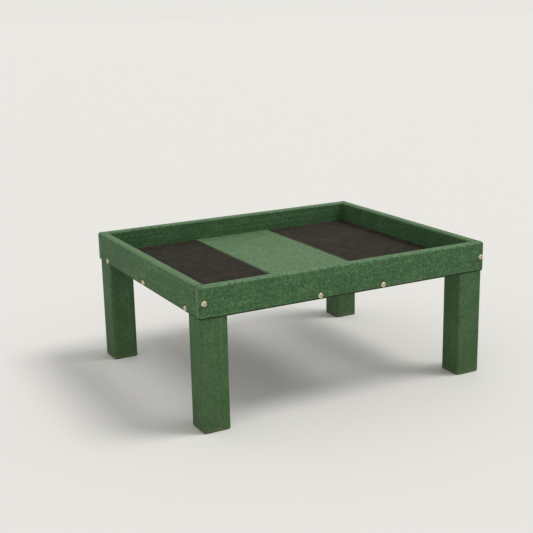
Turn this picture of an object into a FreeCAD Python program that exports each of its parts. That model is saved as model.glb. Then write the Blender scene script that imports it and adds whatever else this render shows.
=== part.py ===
import FreeCAD, Part
import Sketcher
import os

# Ground platform bird feeder of plastic lumber: a shallow tray on four short legs.
# Front and back rails run the full length, and the side rails are butted between them.
# A plank runs from front to back across the middle of the floor. A loose wire screen lies
# in the bay on each side of it, on a step along the plank and on a cleat along the side rail.
#
# Frame: millimetres, origin on the ground under the middle of the tray,
# +X along the front rail to the right, +Y from front to back, +Z up.

DRIVING_SIZES = [
    ("rail_length", 432.0, "front and back rails, end to end"),
    ("tray_depth", 355.6, "outer face of the front rail to outer face of the back rail"),
    ("rail_height", 41.3, "height of all four rails"),
    ("rail_thickness", 12.7, "thickness of all four rails"),
    ("rail_round", 3.0, "radius along the rails' long edges"),
    ("rail_end_ease", 2.2, "bevel round the ends of the front and back rails"),
    ("leg_length", 147.3, "ground to the underside of the rails"),
    ("leg_side", 36.6, "side of the square leg"),
    ("leg_inset", 1.8, "rail face to leg face"),
    ("leg_round", 3.0, "radius along the legs' upright edges"),
    ("leg_end_ease", 1.2, "bevel round both ends of each leg"),
    ("plank_width", 140.0, "centre plank, with both steps"),
    ("plank_thickness", 12.7, "centre plank at its middle"),
    ("plank_ease", 0.8, "radius along the plank's upper edges"),
    ("step_width", 7.5, "step that carries a screen's inner edge"),
    ("cleat_width", 25.4, "strip that carries a screen's outer edge"),
    ("board_end_gap", 0.4, "floor board end to rail"),
    ("screen_thickness", 1.4, "two wires, one over the other"),
    ("screen_gap", 1.2, "screen edge to rail or plank"),
    ("strand_width", 2.7, "one strand of the net"),
    ("net_columns", 5, "openings across one screen"),
    ("net_rows", 12, "openings from front to back"),
    ("pan_head_diameter", 7.4, "pan head screw"),
    ("pan_head_top", 4.8, "flat on top of the pan head"),
    ("pan_head_height", 2.4, "pan head screw"),
    ("shank_diameter", 4.0, "both kinds of screw"),
    ("pan_screw_length", 32.0, "pan head screw, under its head"),
    ("flat_head_diameter", 8.0, "countersunk leg screw"),
    ("flat_head_sink", 0.3, "leg screw head below the top of its cleat"),
    ("leg_screw_length", 50.0, "countersunk leg screw, with its head"),
    ("hole_clearance", 0.2, "all round a screw, and past its end"),
    ("plank_screw_offset", 48.0, "plank screws, each way from the middle"),
    ("cleat_screw_setback", 40.0, "outer cleat screws, from the front or back face"),
]

# Sizes that follow from the driving sizes
CLEAT_THICKNESS = "(Sizes.plank_thickness - Sizes.screen_thickness)"
INNER_DEPTH = "(Sizes.tray_depth - 2 * Sizes.rail_thickness)"
BOARD_LENGTH = f"({INNER_DEPTH} - 2 * Sizes.board_end_gap)"
HALF_LENGTH = "(Sizes.rail_length / 2)"
HALF_DEPTH = "(Sizes.tray_depth / 2)"
RAIL_MIDDLE = "(Sizes.leg_length + Sizes.rail_height / 2)"
HOLE_DIAMETER = "(Sizes.shank_diameter + 2 * Sizes.hole_clearance)"
HOLE_REACH = "(Sizes.pan_screw_length - Sizes.rail_thickness + Sizes.hole_clearance)"
LOW_SCREW = f"({CLEAT_THICKNESS} / 2)"
CLEAT_SCREW_SPREAD = f"({HALF_DEPTH} - Sizes.cleat_screw_setback)"
SEAT_MIDDLE = "((Sizes.rail_thickness + Sizes.leg_inset + Sizes.leg_side) / 2)"
LEG_MIDDLE = "(Sizes.leg_inset + Sizes.leg_side / 2)"
COUNTERSINK = ("(Sizes.flat_head_diameter / 2 + Sizes.flat_head_sink + Sizes.hole_clearance"
               f" - {HOLE_DIAMETER} / 2)")

UP = FreeCAD.Vector(0, 0, 1)
NEAR = 1e-4

doc = FreeCAD.newDocument("ground_platform_feeder")
sheet = doc.addObject("Spreadsheet::Sheet", "Sizes")
nodes = []


def fill_sheet():
    """Write each driving size as a plain number with its alias and what it measures."""
    for row, (alias, size, meaning) in enumerate(DRIVING_SIZES, start=1):
        sheet.set(f"A{row}", alias)
        sheet.set(f"B{row}", str(size))
        sheet.setAlias(f"B{row}", alias)
        sheet.set(f"C{row}", meaning)
    doc.recompute()


def value(expression):
    """The number that an expression on the sheet gives now."""
    return float(sheet.evalExpression(expression))


def new_body(label):
    """An empty body whose label names the piece."""
    body = doc.addObject("PartDesign::Body", label)
    body.Label = label
    return body


def finish(piece, x="0", y="0", z="0"):
    """Put the piece in its place and list it among the pieces to write."""
    for axis, expression in zip("xyz", (x, y, z)):
        piece.setExpression(f"Placement.Base.{axis}", expression)
    nodes.append(piece)


def origin_plane(body, role):
    """One of the body's own three planes."""
    return next(item for item in body.Origin.OriginFeatures if item.Role == role)


def new_sketch(body, name, role, offset="0"):
    """A sketch on one of the body's planes, moved along that plane's normal."""
    sketch = body.newObject("Sketcher::SketchObject", name)
    sketch.AttachmentSupport = [(origin_plane(body, role), "")]
    sketch.MapMode = "FlatFace"
    sketch.setExpression("AttachmentOffset.Base.z", offset)
    return sketch


def pin_point(sketch, geometry, point, x, y):
    """Hold a point of the sketch at x and y, which are expressions."""
    places = (("DistanceX", x, -2), ("DistanceY", y, -1))
    for kind, expression, axis in places:
        if expression == "0":
            sketch.addConstraint(Sketcher.Constraint("PointOnObject", geometry, point, axis))
            continue
        size = value(expression)
        index = sketch.addConstraint(Sketcher.Constraint(kind, -1, 1, geometry, point, size))
        sketch.setExpression(f"Constraints[{index}]", expression)


def draw_outline(sketch, corners):
    """A closed outline of straight lines through corners given as pairs of expressions."""
    places = [FreeCAD.Vector(value(x), value(y), 0) for x, y in corners]
    count = len(corners)
    for index in range(count):
        sketch.addGeometry(Part.LineSegment(places[index], places[(index + 1) % count]))
    for index in range(count):
        following = (index + 1) % count
        sketch.addConstraint(Sketcher.Constraint("Coincident", index, 2, following, 1))
    for index, (x, y) in enumerate(corners):
        pin_point(sketch, index, 1, x, y)


def draw_rectangle(sketch, width, height):
    """A rectangle about the sketch's origin."""
    right, top = f"({width} / 2)", f"({height} / 2)"
    left, bottom = f"(-{width} / 2)", f"(-{height} / 2)"
    draw_outline(sketch, [(left, bottom), (right, bottom), (right, top), (left, top)])


def draw_circle(sketch, x, y, diameter):
    """A circle at x and y."""
    centre = FreeCAD.Vector(value(x), value(y), 0)
    size = value(diameter)
    geometry = sketch.addGeometry(Part.Circle(centre, UP, size / 2))
    pin_point(sketch, geometry, 3, x, y)
    index = sketch.addConstraint(Sketcher.Constraint("Diameter", geometry, size))
    sketch.setExpression(f"Constraints[{index}]", diameter)


def pad_both_ways(body, sketch, length):
    """Pad the sketch by half the length to each side of its plane."""
    pad = body.newObject("PartDesign::Pad", "Pad")
    pad.Profile = sketch
    pad.SideType = "Symmetric"
    pad.setExpression("Length", length)
    doc.recompute()
    return pad


def must_cut(body, feature, before):
    """Stop if a cut took nothing away."""
    doc.recompute()
    if feature.Shape.Volume > before - NEAR:
        raise RuntimeError(f"{body.Label}: {feature.Name} cuts nothing")


def cut_through(body, sketch):
    """Cut the sketch through the whole piece, both ways."""
    before = body.Shape.Volume
    pocket = body.newObject("PartDesign::Pocket", "ThroughCut")
    pocket.Profile = sketch
    pocket.SideType = "Symmetric"
    pocket.Type = "ThroughAll"
    must_cut(body, pocket, before)
    return pocket


def cut_blind(body, sketch, depth):
    """Cut the sketch to a depth, against its plane's normal."""
    before = body.Shape.Volume
    pocket = body.newObject("PartDesign::Pocket", "BlindCut")
    pocket.Profile = sketch
    pocket.setExpression("Length", depth)
    must_cut(body, pocket, before)
    return pocket


def mirror_cut(body, cut, role):
    """Repeat a cut on the other side of one of the body's planes."""
    before = body.Shape.Volume
    mirrored = body.newObject("PartDesign::Mirrored", "Mirrored")
    mirrored.Originals = [cut]
    mirrored.MirrorPlane = (origin_plane(body, role), [""])
    body.Tip = mirrored
    must_cut(body, mirrored, before)


def edge_names(shape, wanted):
    """Names of the edges that a test picks out."""
    return [f"Edge{index}" for index, edge in enumerate(shape.Edges, start=1) if wanted(edge)]


def runs_along(axis):
    """A test for straight edges parallel to an axis, 0 to 2 for X to Z."""
    def wanted(edge):
        if edge.Curve.TypeId != "Part::GeomLine":
            return False
        return abs(abs(edge.Curve.Direction[axis]) - 1) < NEAR
    return wanted


def lies_at(axis, places):
    """A test for edges in a plane square to an axis, at one of the places."""
    def wanted(edge):
        box = edge.BoundBox
        low = (box.XMin, box.YMin, box.ZMin)[axis]
        high = (box.XMax, box.YMax, box.ZMax)[axis]
        return any(abs(low - place) < NEAR and abs(high - place) < NEAR for place in places)
    return wanted


def both(first, second):
    """A test for edges that pass two tests."""
    return lambda edge: first(edge) and second(edge)


def round_over(body, wanted, radius):
    """Round the edges that a test picks out."""
    base = body.Tip
    fillet = body.newObject("PartDesign::Fillet", "Round")
    fillet.Base = (base, edge_names(base.Shape, wanted))
    fillet.setExpression("Radius", radius)
    doc.recompute()
    return fillet


def bevel(body, wanted, size):
    """Bevel the edges that a test picks out at 45 degrees."""
    base = body.Tip
    chamfer = body.newObject("PartDesign::Chamfer", "Bevel")
    chamfer.Base = (base, edge_names(base.Shape, wanted))
    chamfer.setExpression("Size", size)
    doc.recompute()
    return chamfer


def make_long_rail(label, side):
    """Front rail (side -1) or back rail (side 1): a full-length board, drilled for its screws."""
    body = new_body(label)
    section = new_sketch(body, "Section", "YZ_Plane")
    draw_rectangle(section, "Sizes.rail_thickness", "Sizes.rail_height")
    pad_both_ways(body, section, "Sizes.rail_length")
    round_over(body, runs_along(0), "Sizes.rail_round")
    end = value(HALF_LENGTH)
    bevel(body, lies_at(0, (-end, end)), "Sizes.rail_end_ease")
    holes = new_sketch(body, "ScrewHoles", "XZ_Plane")
    draw_circle(holes, f"({HALF_LENGTH} - Sizes.rail_thickness / 2)", "0", HOLE_DIAMETER)
    draw_circle(holes, "Sizes.plank_screw_offset", f"({LOW_SCREW} - Sizes.rail_height / 2)", HOLE_DIAMETER)
    mirror_cut(body, cut_through(body, holes), "YZ_Plane")
    finish(body, y=f"{side} * ({HALF_DEPTH} - Sizes.rail_thickness / 2)", z=RAIL_MIDDLE)


def make_side_rail(label, side):
    """Left rail (side -1) or right rail (side 1): a board between the long rails."""
    body = new_body(label)
    section = new_sketch(body, "Section", "XZ_Plane")
    draw_rectangle(section, "Sizes.rail_thickness", "Sizes.rail_height")
    pad_both_ways(body, section, INNER_DEPTH)
    round_over(body, runs_along(1), "Sizes.rail_round")
    middle_hole = new_sketch(body, "MiddleHole", "YZ_Plane")
    height = f"({LOW_SCREW} - Sizes.rail_height / 2)"
    draw_circle(middle_hole, "0", height, HOLE_DIAMETER)
    cut_through(body, middle_hole)
    outer_hole = new_sketch(body, "OuterHole", "YZ_Plane")
    draw_circle(outer_hole, CLEAT_SCREW_SPREAD, height, HOLE_DIAMETER)
    mirror_cut(body, cut_through(body, outer_hole), "XZ_Plane")
    end_hole = new_sketch(body, "EndHole", "XZ_Plane", f"{INNER_DEPTH} / 2")
    draw_circle(end_hole, "0", "0", HOLE_DIAMETER)
    mirror_cut(body, cut_blind(body, end_hole, HOLE_REACH), "XZ_Plane")
    finish(body, x=f"{side} * ({HALF_LENGTH} - Sizes.rail_thickness / 2)", z=RAIL_MIDDLE)


def make_leg(label, side_x, side_y):
    """A square leg with rounded upright edges and eased ends, drilled in its top for its screw."""
    body = new_body(label)
    section = new_sketch(body, "Section", "XY_Plane")
    draw_rectangle(section, "Sizes.leg_side", "Sizes.leg_side")
    pad_both_ways(body, section, "Sizes.leg_length")
    round_over(body, runs_along(2), "Sizes.leg_round")
    end = value("Sizes.leg_length") / 2
    bevel(body, lies_at(2, (-end, end)), "Sizes.leg_end_ease")
    hole = new_sketch(body, "ScrewHole", "XY_Plane", "Sizes.leg_length / 2")
    to_seat = f"({SEAT_MIDDLE} - {LEG_MIDDLE})"
    draw_circle(hole, f"({-side_x} * {to_seat})", f"({-side_y} * {to_seat})", HOLE_DIAMETER)
    depth = f"(Sizes.leg_screw_length + Sizes.flat_head_sink + Sizes.hole_clearance - {CLEAT_THICKNESS})"
    cut_blind(body, hole, depth)
    finish(
        body,
        x=f"{side_x} * ({HALF_LENGTH} - {LEG_MIDDLE})",
        y=f"{side_y} * ({HALF_DEPTH} - {LEG_MIDDLE})",
        z="Sizes.leg_length / 2",
    )


def make_plank():
    """The plank across the middle of the floor, stepped along both sides for the screens."""
    body = new_body("centre_plank")
    section = new_sketch(body, "Section", "XZ_Plane")
    outer = "(Sizes.plank_width / 2)"
    shoulder = "(Sizes.plank_width / 2 - Sizes.step_width)"
    outline = [
        (f"(-{outer})", "0"),
        (outer, "0"),
        (outer, CLEAT_THICKNESS),
        (shoulder, CLEAT_THICKNESS),
        (shoulder, "Sizes.plank_thickness"),
        (f"(-{shoulder})", "Sizes.plank_thickness"),
        (f"(-{shoulder})", CLEAT_THICKNESS),
        (f"(-{outer})", CLEAT_THICKNESS),
    ]
    draw_outline(section, outline)
    pad_both_ways(body, section, BOARD_LENGTH)
    top = value("Sizes.plank_thickness")
    round_over(body, both(runs_along(1), lies_at(2, (top,))), "Sizes.plank_ease")
    end_hole = new_sketch(body, "EndHoles", "XZ_Plane", f"{BOARD_LENGTH} / 2")
    for side in (-1, 1):
        draw_circle(end_hole, f"({side} * Sizes.plank_screw_offset)", LOW_SCREW, HOLE_DIAMETER)
    mirror_cut(body, cut_blind(body, end_hole, f"({HOLE_REACH} - Sizes.board_end_gap)"), "XZ_Plane")
    finish(body, z="Sizes.leg_length")


def make_cleat(label, side):
    """Left cleat (side -1) or right cleat (side 1): carries a screen and takes the leg screws."""
    body = new_body(label)
    section = new_sketch(body, "Section", "XZ_Plane")
    draw_rectangle(section, "Sizes.cleat_width", CLEAT_THICKNESS)
    pad_both_ways(body, section, BOARD_LENGTH)
    outward = "YZ_Plane"
    middle_hole = new_sketch(body, "MiddleHole", outward, "Sizes.cleat_width / 2")
    draw_circle(middle_hole, "0", "0", HOLE_DIAMETER)
    cut_blind(body, middle_hole, HOLE_REACH)
    outer_hole = new_sketch(body, "OuterHole", outward, "Sizes.cleat_width / 2")
    draw_circle(outer_hole, CLEAT_SCREW_SPREAD, "0", HOLE_DIAMETER)
    mirror_cut(body, cut_blind(body, outer_hole, HOLE_REACH), "XZ_Plane")
    leg_hole = new_sketch(body, "LegHole", "XY_Plane")
    from_middle = f"(Sizes.rail_thickness + Sizes.cleat_width / 2 - {SEAT_MIDDLE})"
    draw_circle(leg_hole, from_middle, f"({HALF_DEPTH} - {SEAT_MIDDLE})", HOLE_DIAMETER)
    mirror_cut(body, cut_through(body, leg_hole), "XZ_Plane")
    top = value(CLEAT_THICKNESS) / 2
    bevel(body, both(lambda edge: edge.Curve.TypeId == "Part::GeomCircle", lies_at(2, (top,))), COUNTERSINK)
    if side < 0:
        body.Placement = FreeCAD.Placement(FreeCAD.Vector(), FreeCAD.Rotation(UP, 180))
    finish(
        body,
        x=f"{side} * ({HALF_LENGTH} - Sizes.rail_thickness - Sizes.cleat_width / 2)",
        z=f"Sizes.leg_length + {CLEAT_THICKNESS} / 2",
    )


def net_wire(left, front, right, back):
    """A closed rectangle in the ground plane."""
    corners = [(left, front), (right, front), (right, back), (left, back), (left, front)]
    return Part.makePolygon([FreeCAD.Vector(x, y, 0) for x, y in corners])


def make_screen(label, side):
    """Left screen (side -1) or right screen (side 1): a flat net, one face with a grid of openings."""
    inner = value("Sizes.plank_width / 2 - Sizes.step_width + Sizes.screen_gap")
    outer = value(f"{HALF_LENGTH} - Sizes.rail_thickness - Sizes.screen_gap")
    depth = value(f"{INNER_DEPTH} - 2 * Sizes.screen_gap")
    width = outer - inner
    strand = sheet.strand_width
    columns = int(sheet.net_columns)
    rows = int(sheet.net_rows)
    column_pitch = (width - strand) / columns
    row_pitch = (depth - strand) / rows
    wires = [net_wire(-width / 2, -depth / 2, width / 2, depth / 2)]
    for column in range(columns):
        left = -width / 2 + strand + column * column_pitch
        for row in range(rows):
            front = -depth / 2 + strand + row * row_pitch
            wires.append(net_wire(left, front, left + column_pitch - strand, front + row_pitch - strand))
    face = Part.makeFace(wires, "Part::FaceMakerBullseye")
    screen = doc.addObject("Part::Feature", label)
    screen.Label = label
    screen.Shape = face.extrude(FreeCAD.Vector(0, 0, sheet.screen_thickness))
    middle = (inner + outer) / 2
    bottom = value(f"Sizes.leg_length + {CLEAT_THICKNESS}")
    screen.Placement = FreeCAD.Placement(FreeCAD.Vector(side * middle, 0, bottom), FreeCAD.Rotation())
    nodes.append(screen)


def turn_profile(body, outline):
    """A screw's half outline, turned about its own axis."""
    profile = new_sketch(body, "Profile", "XZ_Plane")
    draw_outline(profile, outline)
    turned = body.newObject("PartDesign::Revolution", "Turned")
    turned.Profile = profile
    turned.ReferenceAxis = (profile, ["V_Axis"])
    turned.Angle = 360.0
    doc.recompute()


def make_pan_screw():
    """Pan head screw on the Z axis, its head resting on the plane Z = 0."""
    body = new_body("pan_screw")
    shank = "(Sizes.shank_diameter / 2)"
    rim = "(Sizes.pan_head_diameter / 2)"
    outline = [
        ("0", "(-Sizes.pan_screw_length)"),
        (shank, "(-Sizes.pan_screw_length)"),
        (shank, "0"),
        (rim, "0"),
        ("(Sizes.pan_head_top / 2)", "Sizes.pan_head_height"),
        ("0", "Sizes.pan_head_height"),
    ]
    turn_profile(body, outline)
    return body


def make_flat_screw():
    """Countersunk screw on the Z axis, the top of its head in the plane Z = 0."""
    body = new_body("flat_screw")
    shank = "(Sizes.shank_diameter / 2)"
    rim = "(Sizes.flat_head_diameter / 2)"
    outline = [
        ("0", "(-Sizes.leg_screw_length)"),
        (shank, "(-Sizes.leg_screw_length)"),
        (shank, f"({shank} - {rim})"),
        (rim, "0"),
        ("0", "0"),
    ]
    turn_profile(body, outline)
    return body


def make_screw_group(label, screw, places):
    """One piece per place, each given as x, y, z expressions and the way its head faces."""
    links = []
    for index, (x, y, z, facing) in enumerate(places, start=1):
        link = doc.addObject("App::Link", f"{label}_{index}")
        link.LinkedObject = screw
        link.LinkPlacement = FreeCAD.Placement(
            FreeCAD.Vector(value(x), value(y), value(z)),
            FreeCAD.Rotation(UP, FreeCAD.Vector(*facing)),
        )
        for axis, expression in zip("xyz", (x, y, z)):
            link.setExpression(f"LinkPlacement.Base.{axis}", expression)
        links.append(link)
    group = doc.addObject("Part::Compound", label)
    group.Label = label
    group.Links = links
    nodes.append(group)


def make_screws():
    """All four groups of screws, from the same values as their holes."""
    pan_screw = make_pan_screw()
    flat_screw = make_flat_screw()
    low = f"(Sizes.leg_length + {LOW_SCREW})"
    corners = []
    plank = []
    cleat = []
    leg = []
    for side_y in (-1, 1):
        y = f"{side_y} * {HALF_DEPTH}"
        facing = (0, side_y, 0)
        for side_x in (-1, 1):
            x = f"{side_x} * ({HALF_LENGTH} - Sizes.rail_thickness / 2)"
            corners.append((x, y, RAIL_MIDDLE, facing))
            plank.append((f"{side_x} * Sizes.plank_screw_offset", y, low, facing))
            leg_x = f"{side_x} * ({HALF_LENGTH} - {SEAT_MIDDLE})"
            leg_y = f"{side_y} * ({HALF_DEPTH} - {SEAT_MIDDLE})"
            leg_z = f"Sizes.leg_length + {CLEAT_THICKNESS} - Sizes.flat_head_sink"
            leg.append((leg_x, leg_y, leg_z, (0, 0, 1)))
    for side_x in (-1, 1):
        for step in (-1, 0, 1):
            place = f"{step} * {CLEAT_SCREW_SPREAD}"
            cleat.append((f"{side_x} * {HALF_LENGTH}", place, low, (side_x, 0, 0)))
    make_screw_group("corner_screws", pan_screw, corners)
    make_screw_group("plank_screws", pan_screw, plank)
    make_screw_group("cleat_screws", pan_screw, cleat)
    make_screw_group("leg_screws", flat_screw, leg)


def make_feeder():
    """All the pieces, in the order in which they would be put together."""
    for name, side in (("front", -1), ("back", 1)):
        make_long_rail(f"{name}_rail", side)
    for name, side in (("left", -1), ("right", 1)):
        make_side_rail(f"{name}_rail", side)
        make_cleat(f"{name}_cleat", side)
        make_screen(f"{name}_screen", side)
    make_plank()
    for name_y, side_y in (("front", -1), ("back", 1)):
        for name_x, side_x in (("left", -1), ("right", 1)):
            make_leg(f"{name_y}_{name_x}_leg", side_x, side_y)
    make_screws()
    doc.recompute()


def check_document():
    """Stop if any object failed or any piece has no sound shape."""
    for item in doc.Objects:
        if "Invalid" in item.State or "Error" in item.State:
            raise RuntimeError(f"{item.Label} failed: {item.State}")
    for node in nodes:
        if node.Shape.isNull() or not node.Shape.isValid():
            raise RuntimeError(f"{node.Label} has no sound shape")


def write_pieces():
    """Write each piece to a file named by its label."""
    os.makedirs("parts", exist_ok=True)
    for node in nodes:
        node.Shape.exportStep(f"parts/{node.Label}.step")
        print(node.Label, len(node.Shape.Solids), round(node.Shape.Volume, 1))


fill_sheet()
make_feeder()
check_document()
write_pieces()
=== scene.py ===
"""Looks for a ground platform bird feeder: plastic lumber, woven wire, plated screws and a studio."""

import math
from itertools import product

import bmesh
import bpy
from bpy.props import FloatProperty, FloatVectorProperty, IntProperty, PointerProperty
from mathutils import Matrix, Vector


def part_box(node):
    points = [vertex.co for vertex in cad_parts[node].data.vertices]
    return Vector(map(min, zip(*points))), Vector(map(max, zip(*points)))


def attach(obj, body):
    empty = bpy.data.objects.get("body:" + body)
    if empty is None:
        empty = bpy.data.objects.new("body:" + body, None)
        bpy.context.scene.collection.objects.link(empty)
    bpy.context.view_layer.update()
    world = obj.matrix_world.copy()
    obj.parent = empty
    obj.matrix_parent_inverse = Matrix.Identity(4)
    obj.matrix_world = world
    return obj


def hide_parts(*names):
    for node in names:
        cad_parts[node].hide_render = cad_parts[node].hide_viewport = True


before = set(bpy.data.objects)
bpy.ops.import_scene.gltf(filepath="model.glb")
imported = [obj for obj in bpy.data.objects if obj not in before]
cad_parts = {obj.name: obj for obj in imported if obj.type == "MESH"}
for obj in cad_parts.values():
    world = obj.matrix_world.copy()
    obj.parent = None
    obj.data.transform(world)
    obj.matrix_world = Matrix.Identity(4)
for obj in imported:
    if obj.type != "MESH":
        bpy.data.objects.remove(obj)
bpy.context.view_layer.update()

bl_info = {
    "name": "Ground Platform Feeder",
    "version": (1, 0, 0),
    "blender": (4, 5, 0),
    "location": "View3D > Sidebar > Feeder",
    "description": "Finishes a low bird feeder of plastic lumber, with its screens, screws and studio",
    "category": "Object",
}

MM = 0.001
INCH = 25.4 * MM

# Width of the camera's sensor in millimetres
SENSOR_WIDTH = 36.0

# Corners of a rectangle in turn, as signs of its half sides
CORNERS = ((-1, -1), (1, -1), (1, 1), (-1, 1))

# Metres from one board's place in the patterns to the next one's, so that no two look alike
PATTERN_SHIFT = Vector((0.37, 0.91, 0.53))

# Noise levels between which dust thickens on the wire, and tarnish on the plating
DUST_SPAN = (0.42, 0.72)
TARNISH_SPAN = (0.50, 0.72)

# Degrees between faces past which an edge stays sharp
WIRE_CREASE = 100
SCREW_CREASE = 40

# Rings of points in one turn of a thread, and the share of its pitch that the ridge takes up
RINGS_PER_TURN = 5
RIDGE_SHARE = 0.5

# Share of a pan head's height that is upright rim, and the steps and power of the dome above it
RIM_SHARE = 0.28
DOME_STEPS = 8
DOME_POWER = 0.6

# Share of a head's radius at its last ring, round the middle of its top
CROWN_SHARE = 0.15

# How far a recess's cutter stands out above the head
CUTTER_OVERHANG = 0.5 * MM

# Shares of a recess slot's length and width that are left at its foot
FOOT_LENGTH_SHARE = 0.5
FOOT_WIDTH_SHARE = 0.7

# Degrees that a node's first screw is turned about its axis, and how much further each next one is
FIRST_SPIN = 37
NEXT_SPIN = 53

# Each board with the axis that it was extruded along, 0 to 2 for X to Z
RAIL_GRAIN = {"front_rail": 0, "back_rail": 0, "left_rail": 1, "right_rail": 1}
FLOOR_GRAIN = {"centre_plank": 1, "left_cleat": 1, "right_cleat": 1}
LEG_GRAIN = {"front_left_leg": 2, "front_right_leg": 2, "back_left_leg": 2, "back_right_leg": 2}

# Each screen with the body that it rides on
SCREENS = {"left_screen": "left_screen_panel", "right_screen": "right_screen_panel"}


def linear(hex_colour):
    """Linear red, green and blue of an sRGB hex colour."""
    channels = [int(hex_colour[at:at + 2], 16) / 255 for at in (1, 3, 5)]
    return tuple(c / 12.92 if c <= 0.04045 else ((c + 0.055) / 1.055) ** 2.4 for c in channels)


def opaque(colour):
    """A colour as the four numbers that a node socket takes."""
    return (*colour, 1.0)


# Properties

def colour_property(name, description, hex_colour):
    """A colour that a user may change."""
    return FloatVectorProperty(name=name, description=description, subtype="COLOR", size=3,
                               min=0, max=1, default=linear(hex_colour))


def length_property(name, description, default):
    """A length in metres that a user may change."""
    return FloatProperty(name=name, description=description, unit="LENGTH", subtype="DISTANCE",
                         min=0, precision=5, default=default)


def share_property(name, description, default):
    """A share from 0 to 1 that a user may change."""
    return FloatProperty(name=name, description=description, subtype="FACTOR", min=0, max=1, default=default)


class FeederLumber(bpy.types.PropertyGroup):
    """Plastic lumber of the rails, legs, plank and cleats"""

    green: colour_property("Green", "Body colour of the plastic", "#446A43")
    dark: colour_property("Dark mottle", "Darker patches in the melt", "#305032")
    pale: colour_property("Pale fleck", "Paler flecks and streaks in the melt", "#7F9F76")
    # Pale plastic of sawn ends, also used for the painted highlight on tops and edges
    pale_ends_and_highlight: colour_property("Worn plastic", "Paler plastic on edges, tops and sawn ends", "#93AF89")
    # Painted shade: a dark colour laid on faces that look down
    painted_underside_shade: colour_property("Grime", "Dark film on faces that look down", "#141C10")
    soil: colour_property("Soil", "Dried soil on the feet", "#8C7D5B")
    # Painted light: a brown tint that stands for warm light bounced up from the ground
    splash: colour_property("Splash", "Thin film of splashed earth, thicker towards the ground", "#4A3D28")
    mottle_size: length_property("Mottle", "Size of the darker patches", 3.6 * MM)
    fleck_size: length_property("Fleck", "Size of the pale and dark flecks", 2.3 * MM)
    fade_size: length_property("Faded patch", "Size of the patches that the sun has faded", 38.0 * MM)
    streak_width: length_property("Streak width", "Width of the streaks left by the die", 3.2 * MM)
    streak_length: length_property("Streak length", "Length of the streaks left by the die", 160.0 * MM)
    stipple_size: length_property("Stipple", "Size of the bumps in the surface", 2.2 * MM)
    stipple_depth: length_property("Stipple depth", "Depth of the bumps in the surface", 0.4 * MM)
    # Reach of the painted edge highlight
    edge_highlight_width: length_property("Wear width", "How far wear reaches from an edge", 2.0 * MM)
    # Reach of the painted ground bounce
    ground_bounce_height: length_property("Splash height", "How far splashed earth reaches up", 220.0 * MM)
    soil_height: length_property("Soil height", "How far dried soil reaches up a leg", 14.0 * MM)
    roughness: share_property("Roughness", "Mean roughness of the plastic", 0.62)
    roughness_swing: share_property("Roughness swing", "How far the mottle shifts the roughness", 0.08)
    rail_stipple: share_property("Rail stipple", "Strength of flecks and bumps on the rails", 1.0)
    floor_stipple: share_property("Floor stipple", "Strength of flecks and bumps on plank and cleats", 0.8)
    leg_stipple: share_property("Leg stipple", "Strength of flecks and bumps on the legs", 0.5)


class FeederScreen(bpy.types.PropertyGroup):
    """Woven wire of the two screens"""

    coating: colour_property("Coating", "Black coating on the wire, dulled by weather", "#302D23")
    dust: colour_property("Dust", "Husk dust on the wire", "#5D5743")
    pitch: length_property("Pitch", "Wire to wire, twelve to the inch", INCH / 12)
    wire: length_property("Wire", "Diameter of the coated wire", 0.7 * MM)
    border: length_property("Border", "Width of the strip that binds the wire ends", 2.4 * MM)
    dust_size: length_property("Dust patch", "Size of the dusty patches", 14.0 * MM)
    dust_share: share_property("Dust share", "Most of the coating's colour that dust hides", 0.5)
    roughness: share_property("Roughness", "Roughness of the clean coating", 0.42)
    dust_roughness: share_property("Dusty roughness", "Roughness where dust lies thickest", 0.68)


class FeederScrew(bpy.types.PropertyGroup):
    """Plated steel screws"""

    plate: colour_property("Plating", "Zinc plating, a little yellow", "#D6CDAF")
    tarnish: colour_property("Tarnish", "Dull patches in the plating", "#9C8E6C")
    tarnish_size: length_property("Tarnish patch", "Size of the dull patches", 2.5 * MM)
    tarnish_share: share_property("Tarnish share", "Most of the plating's colour that tarnish hides", 0.8)
    roughness: share_property("Roughness", "Roughness of the bright plating", 0.36)
    tarnish_roughness: share_property("Tarnished roughness", "Roughness where tarnish is thickest", 0.56)
    pan_length: length_property("Pan screw length", "Pan head screw, under its head", 32.0 * MM)
    flat_diameter: length_property("Flat head", "Diameter of a leg screw's head", 8.0 * MM)
    neck: length_property("Neck", "Plain shank under the head", 4.0 * MM)
    recess_length: length_property("Recess length", "Arm to arm of the cross recess", 4.4 * MM)
    recess_width: length_property("Recess width", "Slot of the cross recess", 0.95 * MM)
    recess_depth: length_property("Recess depth", "Depth of the cross recess", 1.3 * MM)
    core: length_property("Core", "Diameter between the threads", 2.9 * MM)
    thread: length_property("Thread", "Diameter over the threads", 4.1 * MM)
    thread_pitch: length_property("Thread pitch", "Thread to thread", 2.0 * MM)
    point: length_property("Point", "Length of the tapered end", 5.0 * MM)
    sides: IntProperty(name="Sides", description="Sides of a turned screw", min=12, max=64, default=32)


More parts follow.
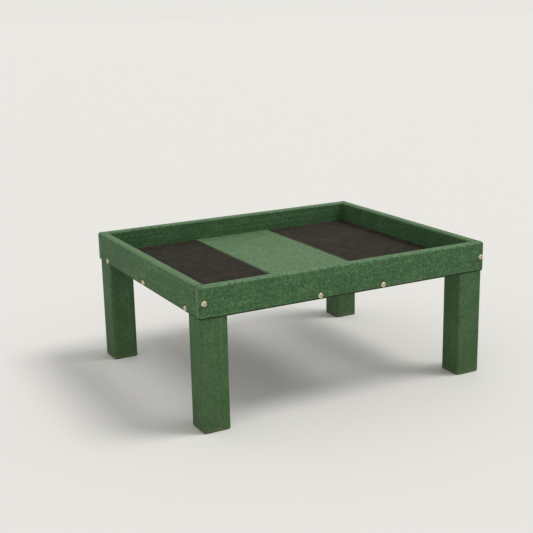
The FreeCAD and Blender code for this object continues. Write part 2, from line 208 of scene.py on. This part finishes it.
class FeederStage(bpy.types.PropertyGroup):
    """Floor, lights and camera"""

    floor: colour_property("Floor", "Pale studio floor", "#E9E7E2")
    floor_radius: length_property("Floor radius", "Reach of the floor", 30.0)
    sky: share_property("Sky", "Brightness of the even light from all round", 0.6)
    key_strength: FloatProperty(name="Key strength", description="Strength of the main soft light", min=0,
                                default=1.47)
    key_spread: FloatProperty(name="Key spread", description="How wide the main light looks from the tray",
                              unit="ROTATION", min=0, default=math.radians(24))
    key_direction: FloatVectorProperty(name="Key direction", description="From the tray to the main light",
                                       subtype="XYZ", default=(0.55, -0.27, 1.0))
    camera_place: FloatVectorProperty(name="Camera place", description="Where the camera stands",
                                      subtype="TRANSLATION", unit="LENGTH",
                                      default=(-0.6877, -1.2295, 0.5151))
    yaw: FloatProperty(name="Yaw", description="Camera's turn to the right of +Y", unit="ROTATION",
                       default=math.radians(28.178))
    pitch: FloatProperty(name="Pitch", description="Camera's tilt below the horizon", unit="ROTATION",
                         default=math.radians(14.716))
    roll: FloatProperty(name="Roll", description="Camera's lean to the left", unit="ROTATION",
                        default=math.radians(-1.162))
    lens: FloatProperty(name="Lens", description="Focal length on a 36 mm wide sensor", unit="CAMERA",
                        default=68.422)


# Nodes and meshes

def add(tree, kind, inputs=None, **settings):
    """Add a node, with its settings, and fill or link its inputs."""
    node = tree.nodes.new(kind)
    for name, setting in settings.items():
        setattr(node, name, setting)
    for key, given in (inputs or {}).items():
        if isinstance(given, bpy.types.NodeSocket):
            tree.links.new(given, node.inputs[key])
        else:
            node.inputs[key].default_value = given
    return node


def new_material(name, inputs):
    """A material with one principled shader, whose even values are set on its own sockets."""
    material = bpy.data.materials.new(name)
    material.use_nodes = True
    tree = material.node_tree
    tree.nodes.clear()
    shader = add(tree, "ShaderNodeBsdfPrincipled", inputs)
    add(tree, "ShaderNodeOutputMaterial", {"Surface": shader.outputs["BSDF"]})
    return material, tree, shader


def new_piece(name, mesh, body, node, material):
    """Show a mesh in place of a CAD node, riding on that node's body."""
    mesh.materials.append(material)
    piece = bpy.data.objects.new(name, mesh)
    bpy.context.scene.collection.objects.link(piece)
    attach(piece, body)
    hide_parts(node)
    return piece


def smooth_by_angle(mesh, degrees):
    """Smooth shading, with sharp edges where faces meet at more than an angle."""
    mesh.polygons.foreach_set("use_smooth", [True] * len(mesh.polygons))
    mesh.set_sharp_from_angle(angle=math.radians(degrees))


# Plastic lumber

def edge_closeness(tree, place, node):
    """Minus the distance to the board's nearest edge, from the middle one of its three face distances."""
    low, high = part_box(node)
    from_middle = add(tree, "ShaderNodeVectorMath", {0: place, 1: (low + high) / 2}, operation="SUBTRACT")
    unsigned = add(tree, "ShaderNodeVectorMath", {0: from_middle.outputs[0]}, operation="ABSOLUTE")
    inside = add(tree, "ShaderNodeVectorMath", {0: unsigned.outputs[0], 1: (high - low) / 2},
                 operation="SUBTRACT")
    axes = add(tree, "ShaderNodeSeparateXYZ", {0: inside.outputs[0]})
    x, y, z = (axes.outputs[axis] for axis in "XYZ")
    least = add(tree, "ShaderNodeMath", {0: x, 1: y}, operation="MINIMUM")
    most = add(tree, "ShaderNodeMath", {0: x, 1: y}, operation="MAXIMUM")
    lower = add(tree, "ShaderNodeMath", {0: most.outputs[0], 1: z}, operation="MINIMUM")
    middle = add(tree, "ShaderNodeMath", {0: least.outputs[0], 1: lower.outputs[0]}, operation="MAXIMUM")
    return middle.outputs[0]


def lay_over(tree, colour, layers):
    """Lay colours over a first one in turn, each growing to its most over a span of its own pattern."""
    for pattern, start, end, most, coat in layers:
        share = add(tree, "ShaderNodeMapRange",
                    {"Value": pattern, "From Min": start, "From Max": end, "To Min": 0.0, "To Max": most},
                    interpolation_type="SMOOTHSTEP")
        # Of the mix's sockets, 6 and 7 are its two colours, and its output 2 is the mixed one.
        mixed = add(tree, "ShaderNodeMix", {0: share.outputs["Result"], 6: colour, 7: opaque(coat)},
                    data_type="RGBA")
        colour = mixed.outputs[2]
    return colour


def soil_and_bounce_share(tree, place, reach, mottle):
    """A patchy share that is fullest at the ground and thins out over a reach, used for the dried soil and
    for the painted warm bounce light from the ground.
    """
    height = add(tree, "ShaderNodeSeparateXYZ", {0: place}).outputs["Z"]
    nearness = add(tree, "ShaderNodeMapRange", {"Value": height, "From Min": reach, "From Max": 0.0})
    film = add(tree, "ShaderNodeMath", {0: nearness.outputs["Result"], 1: mottle}, operation="MULTIPLY")
    return film.outputs[0]


def painted_edge_highlight(tree, place, node, look, mottle):
    """A patchy painted highlight that reaches in from the board's edges."""
    closeness = edge_closeness(tree, place, node)
    near_edge = add(tree, "ShaderNodeMapRange",
                 {"Value": closeness, "From Min": -look.edge_highlight_width, "From Max": 0.0})
    edge_highlight = add(tree, "ShaderNodeMath", {0: near_edge.outputs["Result"], 1: mottle}, operation="MULTIPLY")
    return edge_highlight.outputs[0]


def die_streaks(tree, place, grain, look):
    """Streaks along the board, as the die leaves them."""
    squeeze = Vector((1.0, 1.0, 1.0))
    squeeze[grain] = look.streak_width / look.streak_length
    drawn_out = add(tree, "ShaderNodeVectorMath", {0: place, 1: squeeze}, operation="MULTIPLY")
    streaks = add(tree, "ShaderNodeTexNoise",
                  {"Vector": drawn_out.outputs[0], "Scale": 1 / look.streak_width, "Detail": 2.0})
    return streaks.outputs["Fac"]


def plastic_lumber(look, node, grain, order, stipple):
    """Recycled polyethylene lumber, extruded through a die and left as it came.

    The eye sees a matt forest green, mottled where the melt was not quite mixed, with faint streaks
    along the board, patches that the sun has faded and a rough stipple that breaks up the shine. Sawn ends
    are paler. Tops are painted paler as painted light from above, edges carry a patchy painted highlight,
    undersides carry painted shade, a brown tint painted as warm light bounced up from the ground grows
    towards the ground, and dried soil lies on the feet.
    """
    even = {"IOR": 1.52, "Specular IOR Level": 0.12}
    material, tree, shader = new_material(f"recycled_polyethylene_{node}", even)
    place = add(tree, "ShaderNodeTexCoord").outputs["Object"]
    shift = PATTERN_SHIFT * order
    own_place = add(tree, "ShaderNodeVectorMath", {0: place, 1: shift}, operation="ADD").outputs[0]

    streaks = die_streaks(tree, own_place, grain, look)
    mottle = add(tree, "ShaderNodeTexNoise",
                 {"Vector": own_place, "Scale": 1 / look.mottle_size, "Detail": 4.0,
                  "Roughness": 0.62}).outputs["Fac"]
    # Real flecks are under a millimetre; these are drawn coarser so that they show.
    flecks = add(tree, "ShaderNodeTexNoise",
                 {"Vector": own_place, "Scale": 1 / look.fleck_size, "Detail": 3.0,
                  "Roughness": 0.72}).outputs["Fac"]
    faded = add(tree, "ShaderNodeTexNoise",
                {"Vector": own_place, "Scale": 1 / look.fade_size, "Detail": 5.0,
                 "Roughness": 0.68}).outputs["Fac"]

    edge_highlight = painted_edge_highlight(tree, place, node, look, mottle)
    splash = soil_and_bounce_share(tree, place, look.ground_bounce_height, mottle)
    soil = soil_and_bounce_share(tree, place, look.soil_height, mottle)
    normal = add(tree, "ShaderNodeNewGeometry").outputs["Normal"]
    facing = add(tree, "ShaderNodeSeparateXYZ", {0: normal})
    upward = facing.outputs["Z"]
    sawn = add(tree, "ShaderNodeMath", {0: facing.outputs[grain]}, operation="ABSOLUTE").outputs[0]

    # Each row is a pattern, the values where it starts and is full, the most it hides, and its colour.
    layers = [
        (faded, 0.42, 0.66, 0.17, look.pale),
        (streaks, 0.48, 0.70, 0.18, look.pale),
        (sawn, 0.85, 0.95, 0.24, look.pale_ends_and_highlight),
        # Painted light: faces that look up are painted paler
        (upward, 0.05, 0.60, 0.28, look.pale_ends_and_highlight),
        # Painted highlight along the edges, in patches
        (edge_highlight, 0.10, 0.55, 0.50, look.pale_ends_and_highlight),
        (mottle, 0.62, 0.30, 0.62, look.dark),
        (flecks, 0.52, 0.65, 0.32 * stipple, look.pale),
        (flecks, 0.49, 0.35, 0.92 * stipple, look.dark),
        # Painted bounce light: browner towards the ground
        (splash, 0.0, 0.60, 0.26, look.splash),
        (soil, 0.25, 0.60, 0.45, look.soil),
        # Painted shade on faces that look down
        (upward, -0.02, -0.40, 0.85, look.painted_underside_shade),
    ]
    tree.links.new(lay_over(tree, opaque(look.green), layers), shader.inputs["Base Color"])
    sheen = add(tree, "ShaderNodeMapRange",
                {"Value": mottle, "From Min": 0.3, "From Max": 0.7,
                 "To Min": look.roughness - look.roughness_swing,
                 "To Max": look.roughness + look.roughness_swing})
    tree.links.new(sheen.outputs["Result"], shader.inputs["Roughness"])
    bumps = add(tree, "ShaderNodeTexNoise",
                {"Vector": own_place, "Scale": 1 / look.stipple_size, "Detail": 5.0, "Roughness": 0.65})
    relief = add(tree, "ShaderNodeMath", {0: bumps.outputs["Fac"], 1: streaks}, operation="ADD")
    bump = add(tree, "ShaderNodeBump",
               {"Height": relief.outputs[0], "Distance": look.stipple_depth, "Strength": stipple})
    tree.links.new(bump.outputs["Normal"], shader.inputs["Normal"])
    return material


class FEEDER_OT_finish_boards(bpy.types.Operator):
    """Give every board its plastic lumber, with streaks along its own length"""

    bl_idname = "feeder.finish_boards"
    bl_label = "Finish Boards"

    def execute(self, context):
        look = context.scene.feeder_lumber
        kinds = (
            (RAIL_GRAIN, look.rail_stipple),
            (FLOOR_GRAIN, look.floor_stipple),
            (LEG_GRAIN, look.leg_stipple),
        )
        boards = [(node, grain, stipple) for kind, stipple in kinds for node, grain in kind.items()]
        for order, (node, grain, stipple) in enumerate(boards, start=1):
            material = plastic_lumber(look, node, grain, order, stipple)
            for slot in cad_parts[node].material_slots:
                slot.material = material
        return {"FINISHED"}


# Wire screens

def coated_wire(look):
    """Steel wire woven on a loom, then dipped in black vinyl paint.

    The eye sees a dull black net, browner where husk dust has settled on the wires.
    """
    material, tree, shader = new_material("black_coated_steel_wire", {"Specular IOR Level": 0.18})
    place = add(tree, "ShaderNodeTexCoord").outputs["Object"]
    patches = add(tree, "ShaderNodeTexNoise",
                  {"Vector": place, "Scale": 1 / look.dust_size, "Detail": 4.0,
                   "Roughness": 0.65}).outputs["Fac"]
    clean, dusty = DUST_SPAN
    colour = lay_over(tree, opaque(look.coating), [(patches, clean, dusty, look.dust_share, look.dust)])
    tree.links.new(colour, shader.inputs["Base Color"])
    dulled = add(tree, "ShaderNodeMapRange",
                 {"Value": patches, "From Min": clean, "From Max": dusty,
                  "To Min": look.roughness, "To Max": look.dust_roughness})
    tree.links.new(dulled.outputs["Result"], shader.inputs["Roughness"])
    return material


def spread(start, end, pitch):
    """Evenly spaced places between two ends, as near to a pitch as fits, half a pitch in from each."""
    count = round((end - start) / pitch)
    step = (end - start) / count
    return [start + (index + 0.5) * step for index in range(count)]


def add_wire(points, faces, line, across, radius):
    """A four-sided wire along a line of places, closed at both ends."""
    first = len(points)
    up = Vector((0, 0, radius))
    side = across * radius
    section = (side, up, -side, -up)
    count = len(section)
    for place in line:
        points.extend(place + offset for offset in section)
    for ring in range(len(line) - 1):
        here = first + ring * count
        there = here + count
        for corner in range(count):
            after = (corner + 1) % count
            faces.append((here + corner, here + after, there + after, there + corner))
    last = len(points) - count
    faces.append(tuple(reversed(range(first, first + count))))
    faces.append(tuple(range(last, last + count)))


def weave(points, faces, half, look):
    """Straight runs of wire that go over and under each other in turn."""
    radius = look.wire / 2
    margin = look.border / 2
    columns = spread(look.border - half.x, half.x - look.border, look.pitch)
    rows = spread(look.border - half.y, half.y - look.border, look.pitch)
    along_x, along_y = Vector((1, 0, 0)), Vector((0, 1, 0))
    for row, y in enumerate(rows):
        lifts = [radius if (row + column) % 2 else -radius for column in range(len(columns))]
        line = [Vector((x, y, lift)) for x, lift in zip(columns, lifts)]
        ends = Vector((margin - half.x, y, 0)), Vector((half.x - margin, y, 0))
        add_wire(points, faces, [ends[0], *line, ends[1]], along_y, radius)
    for column, x in enumerate(columns):
        lifts = [-radius if (row + column) % 2 else radius for row in range(len(rows))]
        line = [Vector((x, y, lift)) for y, lift in zip(rows, lifts)]
        ends = Vector((x, margin - half.y, 0)), Vector((x, half.y - margin, 0))
        add_wire(points, faces, [ends[0], *line, ends[1]], along_x, radius)


def bind(points, faces, half, look):
    """A pressed strip round the net, with eased edges, that holds the wire ends."""
    ease = look.wire / 2
    section = [
        (0.0, -half.z + ease), (ease, -half.z), (look.border - ease, -half.z), (look.border, -half.z + ease),
        (look.border, half.z - ease), (look.border - ease, half.z), (ease, half.z), (0.0, half.z - ease),
    ]
    first = len(points)
    count = len(section)
    for x, y in CORNERS:
        points.extend(Vector((x * (half.x - inset), y * (half.y - inset), z)) for inset, z in section)
    for corner in range(len(CORNERS)):
        here = first + corner * count
        there = first + (corner + 1) % len(CORNERS) * count
        for index in range(count):
            after = (index + 1) % count
            faces.append((here + index, there + index, there + after, here + after))


class FEEDER_OT_weave_screens(bpy.types.Operator):
    """Weave the two wire screens and bind their edges"""

    bl_idname = "feeder.weave_screens"
    bl_label = "Weave Screens"

    def execute(self, context):
        look = context.scene.feeder_screen
        material = coated_wire(look)
        for node, body in SCREENS.items():
            low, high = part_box(node)
            points, faces = [], []
            weave(points, faces, (high - low) / 2, look)
            bind(points, faces, (high - low) / 2, look)
            middle = (low + high) / 2
            mesh = bpy.data.meshes.new(f"{node}_weave")
            mesh.from_pydata([point + middle for point in points], [], faces)
            if mesh.validate():
                raise RuntimeError(f"{node} has faces that are not sound")
            smooth_by_angle(mesh, WIRE_CREASE)
            new_piece(f"{node}_weave", mesh, body, node, material)
        return {"FINISHED"}


# Screws

def plated_steel(look):
    """Steel screws, cold headed and zinc plated with a yellow passivation.

    The eye sees a pale, slightly yellow metal with soft reflections, duller in patches.
    """
    material, tree, shader = new_material("zinc_plated_steel", {"Metallic": 1.0})
    place = add(tree, "ShaderNodeTexCoord").outputs["Object"]
    patches = add(tree, "ShaderNodeTexNoise",
                  {"Vector": place, "Scale": 1 / look.tarnish_size, "Detail": 3.0}).outputs["Fac"]
    bright, dull = TARNISH_SPAN
    colour = lay_over(tree, opaque(look.plate), [(patches, bright, dull, look.tarnish_share, look.tarnish)])
    tree.links.new(colour, shader.inputs["Base Color"])
    rough = add(tree, "ShaderNodeMapRange",
                {"Value": patches, "From Min": bright, "From Max": dull,
                 "To Min": look.roughness, "To Max": look.tarnish_roughness})
    tree.links.new(rough.outputs["Result"], shader.inputs["Roughness"])
    return material


def shank_rings(look, length):
    """Height and radii of each ring of points, from the point up to the plain neck."""
    core, thread = look.core / 2, look.thread / 2
    step = look.thread_pitch / RINGS_PER_TURN
    count = int((length - look.neck) / step)
    rings = []
    for index in range(1, count + 1):
        height = index * step - length
        taper = min(1.0, index * step / look.point)
        radii = []
        for side in range(look.sides):
            phase = (height / look.thread_pitch - side / look.sides) % 1.0
            ridge = max(0.0, 1.0 - abs(phase - 0.5) / (RIDGE_SHARE / 2))
            radii.append(taper * (core + (thread - core) * ridge))
        rings.append((height, radii))
    return rings


def turned_screw(look, length, head):
    """A closed mesh turned about Z: a threaded shank and a head given as pairs of radius and height."""
    work = bmesh.new()
    rings = shank_rings(look, length)
    rings.extend((height, [radius] * look.sides) for radius, height in head)
    loops = []
    for height, radii in rings:
        loop = []
        for side, radius in enumerate(radii):
            angle = 2 * math.pi * side / look.sides
            loop.append(work.verts.new((radius * math.cos(angle), radius * math.sin(angle), height)))
        loops.append(loop)
    for lower, upper in zip(loops, loops[1:]):
        for side in range(look.sides):
            after = (side + 1) % look.sides
            work.faces.new((lower[side], lower[after], upper[after], upper[side]))
    for loop, height, flip in ((loops[0], -length, True), (loops[-1], head[-1][1], False)):
        tip = work.verts.new((0, 0, height))
        for side in range(look.sides):
            pair = (loop[side], loop[(side + 1) % look.sides])
            work.faces.new((*(reversed(pair) if flip else pair), tip))
    mesh = bpy.data.meshes.new("turned_screw")
    work.to_mesh(mesh)
    work.free()
    return mesh


def recess_arm(look, top, turned):
    """One slot of the cross recess as a wedge that narrows on the way down."""
    work = bmesh.new()
    foot = top - look.recess_depth
    levels = ((top + CUTTER_OVERHANG, 1.0, 1.0), (foot, FOOT_LENGTH_SHARE, FOOT_WIDTH_SHARE))
    corners = []
    for height, length_share, width_share in levels:
        long, wide = look.recess_length / 2 * length_share, look.recess_width / 2 * width_share
        if turned:
            long, wide = wide, long
        corners.append([work.verts.new((x * long, y * wide, height)) for x, y in CORNERS])
    upper, lower = corners
    work.faces.new(upper)
    work.faces.new(reversed(lower))
    for index in range(len(CORNERS)):
        after = (index + 1) % len(CORNERS)
        work.faces.new((lower[index], lower[after], upper[after], upper[index]))
    mesh = bpy.data.meshes.new("recess_arm")
    work.to_mesh(mesh)
    work.free()
    return mesh


def cut_recess(context, mesh, look, top):
    """The screw's mesh with a cross recess cut into its head."""
    blank = bpy.data.objects.new("screw_blank", mesh)
    cutters = [bpy.data.objects.new("recess_cutter", recess_arm(look, top, turned))
               for turned in (False, True)]
    for made in (blank, *cutters):
        context.scene.collection.objects.link(made)
    for cutter in cutters:
        cut = blank.modifiers.new("Recess", "BOOLEAN")
        cut.operation = "DIFFERENCE"
        cut.solver = "EXACT"
        cut.object = cutter
    graph = context.evaluated_depsgraph_get()
    finished = bpy.data.meshes.new_from_object(blank.evaluated_get(graph), depsgraph=graph)
    for made in (blank, *cutters):
        spent = made.data
        bpy.data.objects.remove(made)
        bpy.data.meshes.remove(spent)
    if len(finished.polygons) == 0:
        raise RuntimeError("the cross recess left no screw")
    return finished


def pan_head(reach, height, shank):
    """Radius and height pairs of a pan head that fills the given reach and height."""
    rim = RIM_SHARE * height
    pairs = [(shank, 0.0), (reach, 0.0), (reach, rim)]
    for step in range(1, DOME_STEPS):
        angle = math.pi / 2 * step / DOME_STEPS
        across = reach * math.cos(angle) ** DOME_POWER
        pairs.append((across, rim + (height - rim) * math.sin(angle)))
    pairs.append((CROWN_SHARE * reach, height))
    return pairs


def gather(name, screw, places):
    """One mesh of copies of a screw, each at a place and with its head facing a direction."""
    work = bmesh.new()
    for index, (place, facing) in enumerate(places):
        copy = screw.copy()
        spin = Matrix.Rotation(math.radians(FIRST_SPIN + NEXT_SPIN * index), 4, "Z")
        turn = Vector((0, 0, 1)).rotation_difference(facing).to_matrix().to_4x4()
        copy.transform(Matrix.Translation(place) @ turn @ spin)
        work.from_mesh(copy)
        bpy.data.meshes.remove(copy)
    mesh = bpy.data.meshes.new(name)
    work.to_mesh(mesh)
    work.free()
    smooth_by_angle(mesh, SCREW_CREASE)
    return mesh


def pan_places(reach, height):
    """Where each node's pan heads bear on the boards, and the way that they face."""
    places = {"corner_screws": [], "plank_screws": [], "cleat_screws": []}
    for node in ("corner_screws", "plank_screws"):
        low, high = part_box(node)
        for x, y in product((-1, 1), repeat=2):
            place = Vector((x * (high.x - reach), y * (high.y - height), (low.z + high.z) / 2))
            places[node].append((place, Vector((0, y, 0))))
    low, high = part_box("cleat_screws")
    for x, step in product((-1, 1), (-1, 0, 1)):
        place = Vector((x * (high.x - height), step * (high.y - reach), (low.z + high.z) / 2))
        places["cleat_screws"].append((place, Vector((x, 0, 0))))
    return places


class FEEDER_OT_drive_pan_screws(bpy.types.Operator):
    """Drive the pan head screws at the corners, the plank and the cleats"""

    bl_idname = "feeder.drive_pan_screws"
    bl_label = "Drive Pan Screws"

    def execute(self, context):
        look = context.scene.feeder_screw
        material = plated_steel(look)
        low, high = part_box("plank_screws")
        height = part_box("front_rail")[0].y - low.y
        reach = (high.z - low.z) / 2
        head = pan_head(reach, height, look.core / 2)
        screw = cut_recess(context, turned_screw(look, look.pan_length, head), look, height)
        for node, spots in pan_places(reach, height).items():
            mesh = gather(f"plated_{node}", screw, spots)
            new_piece(f"plated_{node}", mesh, "frame", node, material)
        bpy.data.meshes.remove(screw)
        return {"FINISHED"}


class FEEDER_OT_drive_leg_screws(bpy.types.Operator):
    """Drive the countersunk screws through the cleats into the legs"""

    bl_idname = "feeder.drive_leg_screws"
    bl_label = "Drive Leg Screws"

    def execute(self, context):
        look = context.scene.feeder_screw
        material = plated_steel(look)
        low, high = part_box("leg_screws")
        reach = look.flat_diameter / 2
        length = high.z - low.z
        core = look.core / 2
        head = [(core, core - reach), (reach, 0.0), (CROWN_SHARE * reach, 0.0)]
        screw = cut_recess(context, turned_screw(look, length, head), look, 0.0)
        spots = []
        for x, y in product((-1, 1), repeat=2):
            place = Vector((x * (high.x - reach), y * (high.y - reach), high.z))
            spots.append((place, Vector((0, 0, 1))))
        mesh = gather("plated_leg_screws", screw, spots)
        new_piece("plated_leg_screws", mesh, "frame", "leg_screws", material)
        bpy.data.meshes.remove(screw)
        return {"FINISHED"}


# Stage

def studio_floor(context, look):
    """A wide pale floor under the feet."""
    work = bmesh.new()
    bmesh.ops.create_circle(work, cap_ends=True, segments=64, radius=look.floor_radius)
    mesh = bpy.data.meshes.new("studio_floor")
    work.to_mesh(mesh)
    work.free()
    paint = {"Base Color": opaque(look.floor), "Roughness": 0.9}
    material, _, _ = new_material("painted_studio_floor", paint)
    mesh.materials.append(material)
    floor = bpy.data.objects.new("studio_floor", mesh)
    context.scene.collection.objects.link(floor)


def even_light(context, look):
    """The same soft light from all round, with a pale backdrop for the camera and in reflections."""
    world = bpy.data.worlds.new("studio_world")
    world.use_nodes = True
    tree = world.node_tree
    tree.nodes.clear()
    path = add(tree, "ShaderNodeLightPath").outputs
    seen = path["Is Camera Ray"]
    for ray in ("Is Glossy Ray", "Is Transmission Ray"):
        seen = add(tree, "ShaderNodeMath", {0: seen, 1: path[ray]}, operation="MAXIMUM").outputs[0]
    soft = add(tree, "ShaderNodeBackground", {"Color": (1, 1, 1, 1), "Strength": look.sky})
    backdrop = add(tree, "ShaderNodeBackground", {"Color": opaque(look.floor), "Strength": 1.0})
    shown = add(tree, "ShaderNodeMixShader", {0: seen, 1: soft.outputs[0], 2: backdrop.outputs[0]})
    add(tree, "ShaderNodeOutputWorld", {"Surface": shown.outputs[0]})
    context.scene.world = world


def key_light(context, look):
    """A wide, soft main light, high on the right in front, that falls evenly over the floor."""
    light = bpy.data.lights.new("key_light", "SUN")
    light.energy = look.key_strength
    light.angle = look.key_spread
    key = bpy.data.objects.new("key_light", light)
    key.rotation_euler = Vector(look.key_direction).to_track_quat("Z", "Y").to_euler()
    context.scene.collection.objects.link(key)


def photo_camera(context, look):
    """The camera, standing where the photograph was taken from."""
    forward = Vector((math.sin(look.yaw) * math.cos(look.pitch),
                      math.cos(look.yaw) * math.cos(look.pitch),
                      -math.sin(look.pitch)))
    right = Vector((math.cos(look.yaw), -math.sin(look.yaw), 0))
    up = right.cross(forward)
    leaned_right = right * math.cos(look.roll) + up * math.sin(look.roll)
    leaned_up = up * math.cos(look.roll) - right * math.sin(look.roll)
    axes = Matrix((leaned_right, leaned_up, -forward)).transposed().to_4x4()
    data = bpy.data.cameras.new("photo_camera")
    data.sensor_width = SENSOR_WIDTH
    data.lens = look.lens
    camera = bpy.data.objects.new("photo_camera", data)
    camera.matrix_world = Matrix.Translation(look.camera_place) @ axes
    context.scene.collection.objects.link(camera)
    context.scene.camera = camera


class FEEDER_OT_set_stage(bpy.types.Operator):
    """Set the floor, the light and the camera"""

    bl_idname = "feeder.set_stage"
    bl_label = "Set Stage"

    def execute(self, context):
        look = context.scene.feeder_stage
        context.scene.view_settings.view_transform = "Standard"
        studio_floor(context, look)
        even_light(context, look)
        key_light(context, look)
        photo_camera(context, look)
        return {"FINISHED"}


# Add-on

GROUPS = {
    "feeder_lumber": FeederLumber,
    "feeder_screen": FeederScreen,
    "feeder_screw": FeederScrew,
    "feeder_stage": FeederStage,
}
OPERATORS = (
    FEEDER_OT_set_stage,
    FEEDER_OT_finish_boards,
    FEEDER_OT_weave_screens,
    FEEDER_OT_drive_pan_screws,
    FEEDER_OT_drive_leg_screws,
)


class FEEDER_PT_sidebar(bpy.types.Panel):
    """Sizes, colours and steps of the feeder"""

    bl_idname = "FEEDER_PT_sidebar"
    bl_label = "Ground Platform Feeder"
    bl_space_type = "VIEW_3D"
    bl_region_type = "UI"
    bl_category = "Feeder"

    def draw(self, context):
        for operator in OPERATORS:
            self.layout.operator(operator.bl_idname)
        for name, group in GROUPS.items():
            box = self.layout.box()
            box.label(text=group.bl_rna.description)
            for field in group.__annotations__:
                box.prop(getattr(context.scene, name), field)


CLASSES = (*GROUPS.values(), *OPERATORS, FEEDER_PT_sidebar)


def register():
    """Add the feeder's properties, steps and panel."""
    for made in CLASSES:
        bpy.utils.register_class(made)
    for name, group in GROUPS.items():
        setattr(bpy.types.Scene, name, PointerProperty(type=group))


def unregister():
    """Take the feeder's properties, steps and panel away."""
    for name in GROUPS:
        delattr(bpy.types.Scene, name)
    for made in reversed(CLASSES):
        bpy.utils.unregister_class(made)


def main():
    """Dress the feeder in order."""
    register()
    bpy.ops.feeder.set_stage()
    bpy.ops.feeder.finish_boards()
    bpy.ops.feeder.weave_screens()
    bpy.ops.feeder.drive_pan_screws()
    bpy.ops.feeder.drive_leg_screws()


if __name__ == "__main__":
    main()
